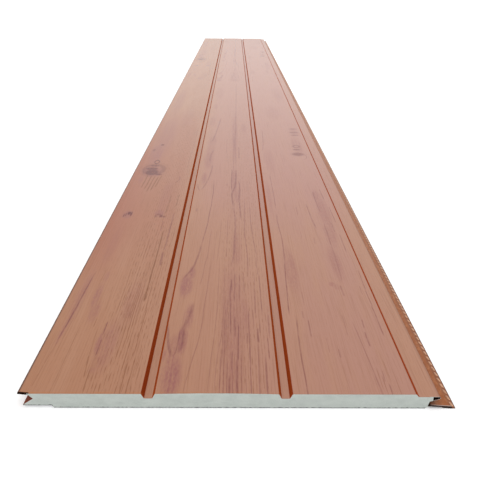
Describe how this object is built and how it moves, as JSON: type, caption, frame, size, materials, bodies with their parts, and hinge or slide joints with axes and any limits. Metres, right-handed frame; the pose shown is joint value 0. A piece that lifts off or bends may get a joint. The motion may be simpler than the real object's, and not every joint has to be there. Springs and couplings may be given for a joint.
{
  "type": "metal siding panel",
  "caption": "Insulated metal siding panel: wood-grain printed steel face rolled into grooved planks on a foam core with a foil back, interlocking edges and a nailing flange.",
  "frame": {"origin": "centre of the panel's outline on the plane of its back", "axes": "+X across the planks towards the nailing flange, +Y along the length, +Z out of the printed face"},
  "size_m": [0.4068, 3.8, 0.0169],
  "materials": {
    "printed_steel": "satin wood-grain print",
    "foam": "cut rigid foam",
    "foil": "plain foil"
  },
  "bodies": {
    "root": {"face_sheet": "printed_steel", "foam_core": "foam", "backing_foil": "foil"}
  },
  "joints": []
}
